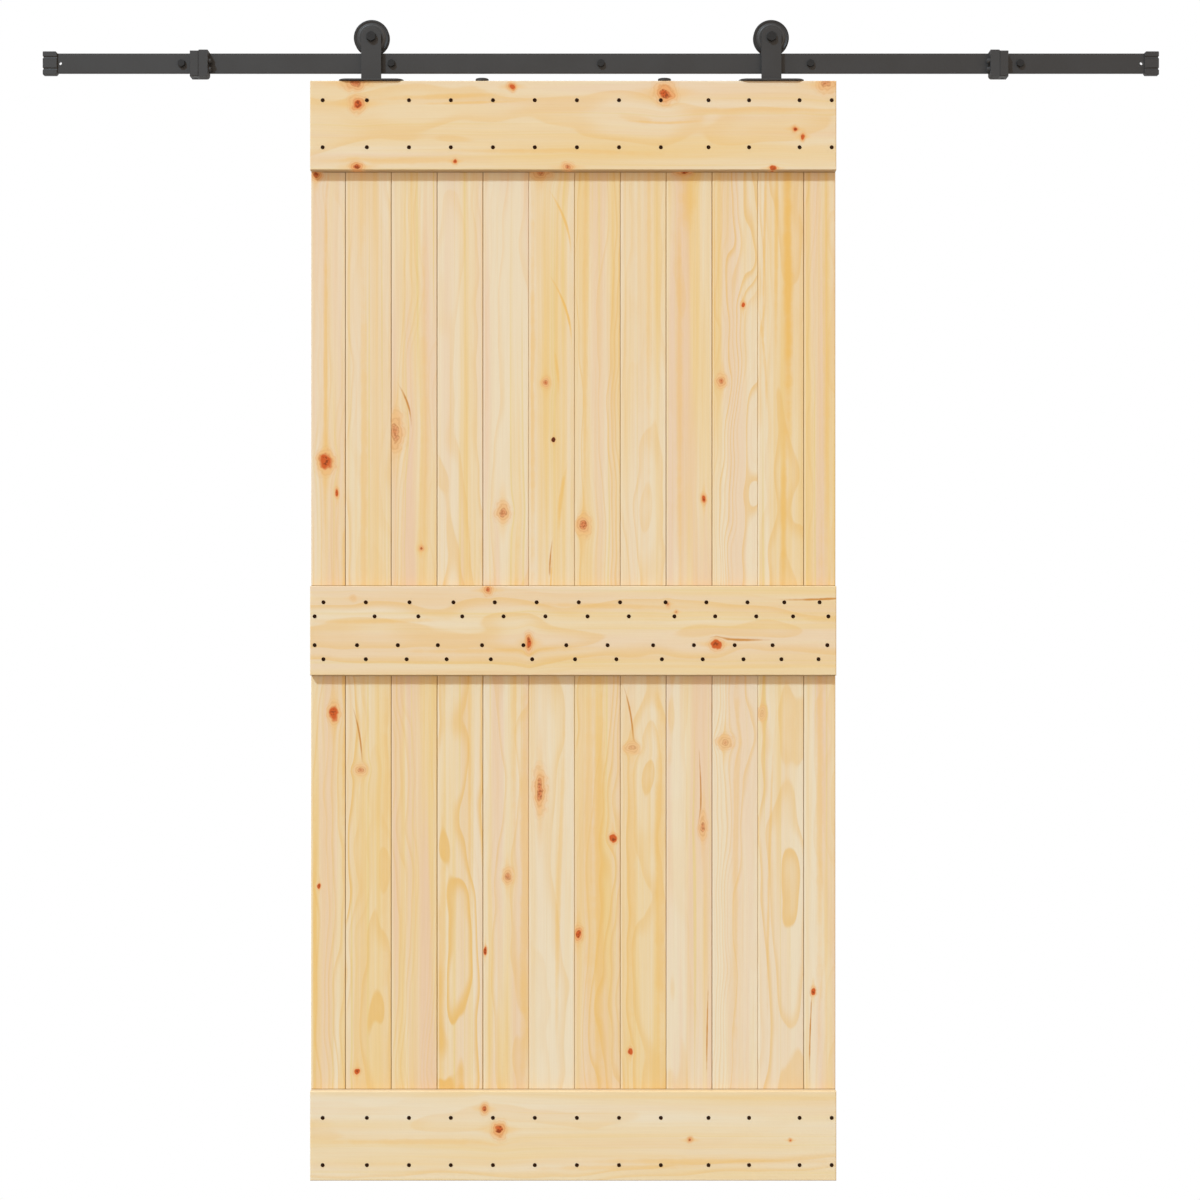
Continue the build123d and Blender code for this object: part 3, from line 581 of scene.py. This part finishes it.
# Dark coat that paints shade on the wheels' rims
RIM_PAINTED_SHADE = coated("rim painted shade", grey(0.006), grey(0.014), 0.42, 0.7, 0.01, shine=0.3)
BRIGHT_STEEL = coated("ground steel", grey(0.42), grey(0.55), 0.30, 0.5, 0.004, metallic=1.0)
CAP_PLASTIC = coated("cap plastic", grey(0.023), grey(0.030), 0.52, 0.7, 0.03)
RUBBER = coated("buffer rubber", grey(0.028), grey(0.036), 0.66, 0.8, 0.03)
NAIL_IRON = coated("brown nail iron", (0.016, 0.005, 0.0015, 1), (0.032, 0.011, 0.003, 1), 0.8, 0.8, 0.05,
                   shine=0.12)

FINISHES = {
    "rail": POWDER_COAT, "wall_spacers": POWDER_COAT, "wall_bolts": BLACK_STEEL, "stop_screws": BLACK_STEEL,
    "hanger_screws": BLACK_STEEL, "disc_screws": BLACK_STEEL, "nails_top": NAIL_IRON,
    "nails_middle": NAIL_IRON, "nails_bottom": NAIL_IRON,
}
PAIR_FINISHES = {
    "stop": POWDER_COAT, "hanger": POWDER_COAT, "wheel": POWDER_COAT, "disc": POWDER_COAT,
    "axle_bolt": BLACK_STEEL, "axle_nut": BLACK_STEEL, "bearing": BRIGHT_STEEL, "front_bush": BRIGHT_STEEL,
    "rear_bush": BRIGHT_STEEL, "end_cap": CAP_PLASTIC, "buffer": RUBBER,
}
PAIR_MATERIALS = {f"{name}_{side}": finish for name, finish in PAIR_FINISHES.items() for side in SIDES}
BOARD_MATERIALS = make_board_materials()
MATERIALS = {**FINISHES, **PAIR_MATERIALS, **BOARD_MATERIALS}


def dress_nodes():
    """Gives every CAD node its finish."""
    for name, material in MATERIALS.items():
        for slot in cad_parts[name].material_slots:
            slot.material = material


# Pieces. Each is made in millimetres round its own axis, then put in its place

FACING_ROOM = Matrix.Rotation(math.pi / 2, 4, "X")
FACING_WALL = Matrix.Rotation(-math.pi / 2, 4, "X")
SHARP_EDGE = math.radians(34)
FLAT_EDGE = math.radians(0.8)
MERGE_DISTANCE = 0.002
HEX_SIDES = 6
TURNED_SIDES = 24
TURNED_SLOPE = math.radians(30)
TURNED_REACH = 0.97  # where a hexagon's turned corners begin, as a share of its half width


def at(x, y, z, turn=None):
    """A move by x, y and z, after a turn if one is given."""
    return Matrix.Translation((x, y, z)) @ (turn or Matrix())


def finish_piece(bm, name, materials, body, slot, *nodes):
    """Turns a mesh in millimetres into a piece of the object that stands for the CAD nodes."""
    bmesh.ops.remove_doubles(bm, verts=bm.verts, dist=MERGE_DISTANCE)
    bmesh.ops.recalc_face_normals(bm, faces=bm.faces)
    bmesh.ops.scale(bm, vec=(MM, MM, MM), verts=bm.verts)
    mesh = bpy.data.meshes.new(name)
    bm.to_mesh(mesh)
    bm.free()
    for material in materials:
        mesh.materials.append(material)
    mesh.shade_smooth()
    mesh.set_sharp_from_angle(angle=SHARP_EDGE)
    piece = bpy.data.objects.new(name, mesh)
    bpy.context.collection.objects.link(piece)
    smoothing = piece.modifiers.new("face weighted normals", "WEIGHTED_NORMAL")
    smoothing.keep_sharp = True
    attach(piece, body)
    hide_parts(*nodes)


def add_turned(bm, profile, place, steps, closed=False):
    """Spins (radius, height) points round the upright axis, in their place, and returns the faces."""
    points = [bm.verts.new((radius, 0, height)) for radius, height in profile]
    pairs = list(zip(points, points[1:]))
    if closed:
        pairs.append((points[-1], points[0]))
    edges = [bm.edges.new(pair) for pair in pairs]
    before = set(bm.faces)
    bmesh.ops.spin(bm, geom=points + edges, cent=(0, 0, 0), axis=(0, 0, 1), angle=2 * math.pi,
                   steps=steps, use_merge=True)
    made = [face for face in bm.faces if face not in before]
    verts = list({vert for face in made for vert in face.verts})
    bmesh.ops.transform(bm, matrix=place, verts=verts)
    return made


def add_hexagon(bm, flats, height, place, both_ends=False):
    """A hexagon head or nut whose corners are turned off on a cone."""
    new = bmesh.new()
    base = bmesh.ops.create_circle(new, cap_ends=True, radius=flats / math.sqrt(3), segments=HEX_SIDES)
    face = base["verts"][0].link_faces[0]
    top = bmesh.ops.extrude_face_region(new, geom=[face])["geom"]
    lifted = [item for item in top if isinstance(item, bmesh.types.BMVert)]
    bmesh.ops.translate(new, vec=(0, 0, height), verts=lifted)
    for end in ((1, -1) if both_ends else (1,)):
        for i in range(TURNED_SIDES):
            angle = 2 * math.pi * (i + 0.5) / TURNED_SIDES
            outward = Vector((math.cos(angle), math.sin(angle), 0))
            normal = outward * math.sin(TURNED_SLOPE)
            normal.z = end * math.cos(TURNED_SLOPE)
            rim = outward * (flats / 2 * TURNED_REACH)
            rim.z = height if end > 0 else 0
            whole = list(new.verts) + list(new.edges) + list(new.faces)
            cut = bmesh.ops.bisect_plane(new, geom=whole, dist=0.0001, plane_co=rim, plane_no=normal,
                                         clear_outer=True)
            rim_edges = [item for item in cut["geom_cut"] if isinstance(item, bmesh.types.BMEdge)]
            if rim_edges:
                bmesh.ops.contextual_create(new, geom=rim_edges)
    bmesh.ops.remove_doubles(new, verts=new.verts, dist=0.001)
    bmesh.ops.recalc_face_normals(new, faces=new.faces)
    bmesh.ops.transform(new, matrix=place, verts=new.verts)
    mesh = bpy.data.meshes.new("hexagon")
    new.to_mesh(mesh)
    new.free()
    bm.from_mesh(mesh)
    bpy.data.meshes.remove(mesh)


def add_thread(bm, root, crest, pitch, length, place, steps=16):
    """A screw thread: a small ridge spun round the axis as it goes down."""
    flank = pitch * 0.4
    ridge = [bm.verts.new(point) for point in ((root, 0, -flank), (crest, 0, 0), (root, 0, flank))]
    edges = [bm.edges.new(pair) for pair in zip(ridge, ridge[1:])]
    count = round(length / pitch * steps)
    before = set(bm.verts) - set(ridge)
    bmesh.ops.spin(bm, geom=ridge + edges, cent=(0, 0, 0), axis=(0, 0, 1), dvec=(0, 0, -pitch / steps),
                   angle=2 * math.pi * count / steps, steps=count)
    made = [vert for vert in bm.verts if vert not in before]
    bmesh.ops.transform(bm, matrix=place, verts=made)


def softened(name, width, body, slot, added=None):
    """A CAD node's shape with its sharp edges rounded over by a small width, and what added puts on it."""
    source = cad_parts[name]
    bm = bmesh.new()
    bm.from_mesh(source.data)
    bmesh.ops.scale(bm, vec=(1 / MM, 1 / MM, 1 / MM), verts=bm.verts)
    bmesh.ops.remove_doubles(bm, verts=bm.verts, dist=MERGE_DISTANCE)
    bmesh.ops.dissolve_limit(bm, angle_limit=FLAT_EDGE, verts=bm.verts, edges=bm.edges)
    sharp = [edge for edge in bm.edges if len(edge.link_faces) == 2 and edge.calc_face_angle(0) > SHARP_EDGE]
    bmesh.ops.bevel(bm, geom=sharp, offset=width, offset_type="OFFSET", segments=2, profile=0.5,
                    affect="EDGES", clamp_overlap=True, material=-1)
    if added:
        added(bm)
    finish_piece(bm, "soft_edged_" + name, [MATERIALS[name]], body, slot, name)


WALL_BOLT = {"flats": 13, "head": 5.3, "radius": 4, "core": 3.0, "crest": 3.95, "pitch": 3.2, "plain": 32,
             "threaded": 27, "tip": 6}
AXLE_BOLT = {"flats": 17, "head": 6.4, "radius": 5, "core": 4.3, "crest": 4.9, "pitch": 1.5, "shank": 30.6,
             "threaded": 14, "point": 0.8, "nut": 8}
# Half section of a wheel as radius and height over the groove's middle, towards the room
WHEEL_SECTION = (
    (13, -6.4), (33.1, -6.4), (33.75, -6.15), (34, -5.6), (34, -4.7), (29.5, -4.0), (29.1, -3.75), (29, -3.3),
    (29, 3.3), (29.1, 3.75), (29.5, 4.0), (34, 4.7), (34, 5.3), (33.5, 6.0), (32.4, 6.3), (31.6, 6.4),
    (30.8, 6.35), (30.2, 6.05), (29.4, 5.4), (28.6, 5.2), (27.4, 5.2), (26.6, 5.45), (26.0, 5.9), (24.0, 7.8),
    (23.4, 8.15), (22.6, 8.3), (8.7, 8.3), (8.2, 8.1), (8, 7.6), (8, 4), (13, 4),
)
RIM_RADIUS = 31.9  # from here outwards the flange is painted dark as shade
BOSS_SLOPE = (23.2, 26.3)  # the boss's sloping side, which carries a painted highlight
# Half section of a bearing: outer ring, seal, inner ring, and the same on the other face
BEARING_SECTION = (
    (5.05, 3.7), (5.35, 4), (7.1, 4), (7.2, 3.6), (11.1, 3.6), (11.2, 4), (12.6, 4), (12.98, 3.6),
    (12.98, -3.6), (12.6, -4), (11.2, -4), (11.1, -3.6), (7.2, -3.6), (7.1, -4), (5.35, -4), (5.05, -3.7),
)
SEAL_RADII = (7.15, 11.15)
WOOD_SCREW = {"head": 4.8, "shank": 2.5, "core": 1.9, "length": 32, "pitch": 2.2, "socket": 1.8,
              "socket depth": 1.6, "plain": 6, "tip": 4, "threaded": 18}
# Steps round the axis
SCREW_STEPS = 24
AXLE_STEPS = 40
AXLE_THREAD_STEPS = 32
BEARING_STEPS = 64
WHEEL_STEPS = 96


def make_wall_bolts():
    """Hexagon wood screws with a coarse thread in the wall."""
    bm = bmesh.new()
    sizes = WALL_BOLT
    core = sizes["core"]
    start = -sizes["plain"]
    end = start - sizes["threaded"]
    shank = ((sizes["radius"], 0), (sizes["radius"], start), (core, start - 1), (core, end),
             (0.3, end - sizes["tip"]))
    for x in WALL_BOLT_X:
        place = at(x, RAIL_FRONT, 0, FACING_ROOM)
        add_hexagon(bm, sizes["flats"], sizes["head"], place)
        add_turned(bm, shank, place, SCREW_STEPS)
        add_thread(bm, core - 0.2, sizes["crest"], sizes["pitch"], sizes["threaded"] - 1,
                   place @ at(0, 0, start - 2))
    finish_piece(bm, "threaded_wall_bolts", [BLACK_STEEL], "track", "dark_fasteners", "wall_bolts")


def make_axle_bolt(side):
    """The bolt through strap, bearing and nut, with a turned head and a threaded end."""
    bm = bmesh.new()
    sizes = AXLE_BOLT
    place = at(AXLE_X[side], STRAP_FRONT, AXLE_Z, FACING_ROOM)
    add_hexagon(bm, sizes["flats"], sizes["head"], place)
    end = -sizes["shank"]
    start = end + sizes["threaded"]
    core = sizes["core"]
    point = sizes["point"]
    shank = ((sizes["radius"], 0), (sizes["radius"], start), (core, start - 0.6), (core, end + point),
             (core - point, end), (0, end))
    add_turned(bm, shank, place, AXLE_STEPS)
    add_thread(bm, core - 0.1, sizes["crest"], sizes["pitch"], 11.6, place @ at(0, 0, start - 1),
               AXLE_THREAD_STEPS)
    finish_piece(bm, "turned_axle_bolt_" + side, [BLACK_STEEL], "leaf", "dark_fasteners", "axle_bolt_" + side)


def radius_and_y(face, side):
    """How far a wheel's or bearing's face is from the axle, and where it lies front to back."""
    corners = [math.hypot(vert.co.x - AXLE_X[side], vert.co.z - AXLE_Z) for vert in face.verts]
    return sum(corners) / len(corners), face.calc_center_median().y


def make_wheel(side):
    """A wheel with rounded flanges, its rim painted dark as shade, and a raised boss whose sloping side has a
    painted highlight.
    """
    bm = bmesh.new()
    place = at(AXLE_X[side], RAIL_MIDDLE, AXLE_Z, FACING_ROOM)
    for face in add_turned(bm, WHEEL_SECTION, place, WHEEL_STEPS, closed=True):
        radius, y = radius_and_y(face, side)
        # The rim's faces get painted shade, and the boss's front slope a painted highlight
        if radius > RIM_RADIUS:
            face.material_index = 1
        elif y < RAIL_MIDDLE and BOSS_SLOPE[0] < radius < BOSS_SLOPE[1]:
            face.material_index = 2
    finish_piece(bm, "turned_wheel_" + side, [POWDER_COAT, RIM_PAINTED_SHADE, BOSS_PAINTED_HIGHLIGHT], "roller_" + side,
                 "painted_steel", "wheel_" + side)


def make_bearing(side):
    """A ball bearing with bright rings and dark seals."""
    bm = bmesh.new()
    place = at(AXLE_X[side], RAIL_MIDDLE, AXLE_Z, FACING_ROOM)
    for face in add_turned(bm, BEARING_SECTION, place, BEARING_STEPS, closed=True):
        radius, _ = radius_and_y(face, side)
        face.material_index = 1 if SEAL_RADII[0] < radius < SEAL_RADII[1] else 0
    finish_piece(bm, "sealed_bearing_" + side, [BRIGHT_STEEL, RUBBER], "roller_" + side, "bright_steel",
                 "bearing_" + side)


def make_axle_nut(side):
    """The nut behind the rear bush."""
    bm = bmesh.new()
    place = at(AXLE_X[side], BUSH_BACK, AXLE_Z, FACING_WALL)
    add_hexagon(bm, AXLE_BOLT["flats"], AXLE_BOLT["nut"], place, both_ends=True)
    finish_piece(bm, "turned_axle_nut_" + side, [BLACK_STEEL], "leaf", "dark_fasteners",
                 "axle_nut_" + side)


def make_wood_screws(name, node, places):
    """Countersunk screws with a hexagon socket, driven straight down."""
    bm = bmesh.new()
    sizes = WOOD_SCREW
    head, radius, core, length = (sizes[key] for key in ("head", "shank", "core", "length"))
    neck = radius - head
    start = neck - sizes["plain"]
    shank = ((head, 0), (radius, neck), (radius, start), (core, start - 1), (core, sizes["tip"] - length),
             (0.1, -length))
    depth = sizes["socket depth"]
    socket = ((sizes["socket"], 0), (sizes["socket"], -depth), (0, -depth - 0.3))
    for place in places:
        add_turned(bm, shank, place, SCREW_STEPS)
        add_turned(bm, socket, place, HEX_SIDES)
        bmesh.ops.remove_doubles(bm, verts=bm.verts, dist=MERGE_DISTANCE)
        rims = [edge for edge in bm.edges if edge.is_boundary]
        bmesh.ops.bridge_loops(bm, edges=rims)
    for place in places:
        add_thread(bm, core - 0.1, radius, sizes["pitch"], sizes["threaded"], place @ at(0, 0, start - 2))
    finish_piece(bm, name, [BLACK_STEEL], "leaf", "dark_fasteners", node)


def weld_beads(side):
    """The welds between strap and foot plate, one bead beside the other."""
    def add(bm):
        length = STRAP_WIDTH - 2 * WELD_ENDS
        for y in (STRAP_FRONT, STRAP_BACK):
            for i in range(round(length / WELD_STEP) + 1):
                x = AXLE_X[side] - length / 2 + i * WELD_STEP
                place = at(x, y, FOOT_TOP) @ Matrix.Diagonal((WELD_SQUASH, 1, 1, 1))
                bmesh.ops.create_uvsphere(bm, u_segments=14, v_segments=8, radius=WELD_RADIUS, matrix=place)
    return add


def make_pieces():
    """One piece for every CAD node, each with its own edge width where the CAD's shape is only softened."""
    for name in BOARD_MATERIALS:
        softened(name, 0.4, "leaf", "pine_boards" if name.startswith("plank") else "pine_ledges")
    for place in LEDGE_SPANS:
        softened("nails_" + place, 0.4, "leaf", "nail_iron")
    softened("rail", 0.3, "track", "painted_steel")
    softened("stop_screws", 0.25, "track", "dark_fasteners")
    make_wall_bolts()
    feet = [x + step for x in AXLE_X.values() for step in (-FOOT_SCREW_STEP, FOOT_SCREW_STEP)]
    make_wood_screws("socket_foot_screws", "hanger_screws", [at(x, LEDGE_MIDDLE, FOOT_TOP) for x in feet])
    discs = DISC_X.values()
    make_wood_screws("socket_disc_screws", "disc_screws", [at(x, LEDGE_MIDDLE, DISC_TOP) for x in discs])
    softened("wall_spacers", 0.8, "track", "painted_steel")
    for side in SIDES:
        make_wheel(side)
        make_bearing(side)
        make_axle_bolt(side)
        make_axle_nut(side)
        softened("disc_" + side, 0.6, "leaf", "painted_steel")
        softened("stop_" + side, 0.7, "track", "painted_steel")
        softened("buffer_" + side, 0.9, "track", "buffer_rubber")
        softened("end_cap_" + side, 0.5, "track", "cap_plastic")
        softened("front_bush_" + side, 0.3, "leaf", "bright_steel")
        softened("rear_bush_" + side, 0.3, "leaf", "bright_steel")
        softened("hanger_" + side, 0.5, "leaf", "painted_steel", weld_beads(side))


# Camera, light and surroundings

CAMERA_PLACE = (-1.6, -4050, -1024.1)
IMAGE_PIXELS = 1200
FOCAL_PIXELS = 2105.6
SENSOR_WIDTH = 36
VIEW_DEPTH = 50  # metres
SUN_WAY = (0.72, 1.0, -1.19)
SUN_STRENGTH = 2.35
SUN_SOFTNESS = 0.08
SUN_COLOUR = (0.67, 1.0, 1.34)
WHITE = (1, 1, 1, 1)
SOFT_LIGHT_FRONT = (0.745, 0.545, 0.335, 1)
SOFT_LIGHT_BEHIND = (0.62, 0.60, 0.57, 1)
FLOOR_Z = -2240
FLOOR_HALF = 6  # metres
FLOOR_FADE = (40, 200)  # behind the wall's plane the floor turns plain white to the camera
FLOOR_GREYS = ((0.60, 0.60, 0.60, 1), (0.64, 0.64, 0.64, 1))
FLOOR_GLOW = 0.40


def add_camera():
    """Straight from the front, at about the door's half height."""
    data = bpy.data.cameras.new("camera")
    data.sensor_width = SENSOR_WIDTH
    data.lens = SENSOR_WIDTH * FOCAL_PIXELS / IMAGE_PIXELS
    data.clip_end = VIEW_DEPTH
    camera = bpy.data.objects.new("camera", data)
    camera.location = Vector(CAMERA_PLACE) * MM
    camera.rotation_euler = (math.pi / 2, 0, 0)
    bpy.context.collection.objects.link(camera)
    bpy.context.scene.camera = camera


def add_sun():
    """The key light, from the upper left in front. Its blue and the soft light's orange make white."""
    data = bpy.data.lights.new("key light", "SUN")
    data.energy = SUN_STRENGTH
    data.angle = SUN_SOFTNESS
    data.color = SUN_COLOUR
    sun = bpy.data.objects.new("key light", data)
    sun.rotation_euler = Vector(SUN_WAY).to_track_quat("-Z", "Y").to_euler()
    bpy.context.collection.objects.link(sun)


def set_world():
    """Soft light from all round, warm from the front, and white where the camera or a reflection sees it."""
    world = bpy.data.worlds.new("studio")
    bpy.context.scene.world = world
    world.use_nodes = True
    tree = world.node_tree
    background = tree.nodes["Background"]
    path = add_node(tree, "ShaderNodeLightPath").outputs
    seen = calculate(tree, "MAXIMUM", path["Is Camera Ray"], path["Is Glossy Ray"])
    seen = calculate(tree, "MAXIMUM", seen, path["Is Transmission Ray"])
    sideways = separate(tree, add_node(tree, "ShaderNodeTexCoord").outputs["Generated"])[1]
    from_behind = step_between(tree, sideways, -0.05, 0.25)
    soft_light = mix_colours(tree, from_behind, SOFT_LIGHT_FRONT, SOFT_LIGHT_BEHIND)
    feed(tree, background.inputs["Color"], mix_colours(tree, seen, soft_light, WHITE))
    background.inputs["Strength"].default_value = 1.0


def add_floor():
    """A pale floor under the door, which fades to white behind it."""
    mesh = bpy.data.meshes.new("floor")
    bm = bmesh.new()
    bmesh.ops.create_grid(bm, x_segments=1, y_segments=1, size=FLOOR_HALF, matrix=at(0, 0, FLOOR_Z * MM))
    bm.to_mesh(mesh)
    bm.free()
    floor = bpy.data.objects.new("floor", mesh)
    bpy.context.collection.objects.link(floor)
    material, tree, shader, coordinates = new_material("pale floor")
    camera_ray = add_node(tree, "ShaderNodeLightPath").outputs["Is Camera Ray"]
    fading = step_between(tree, separate(tree, coordinates)[1], FLOOR_FADE[0] * MM, FLOOR_FADE[1] * MM)
    beyond = calculate(tree, "MULTIPLY", fading, camera_ray)
    mottle = mix_colours(tree, noise(tree, coordinates, 3.0), *FLOOR_GREYS)
    feed(tree, shader.inputs["Base Color"], mix_colours(tree, beyond, mottle, (0, 0, 0, 1)))
    shader.inputs["Roughness"].default_value = 0.9
    shader.inputs["Specular IOR Level"].default_value = 0.0
    shader.inputs["Emission Color"].default_value = WHITE
    glow = calculate(tree, "MULTIPLY", camera_ray, step_between(tree, fading, 0.0, 0.5, FLOOR_GLOW, 1.0))
    feed(tree, shader.inputs["Emission Strength"], glow)
    mesh.materials.append(material)


bpy.context.scene.view_settings.view_transform = "Standard"
add_camera()
add_sun()
set_world()
add_floor()
dress_nodes()
make_pieces()
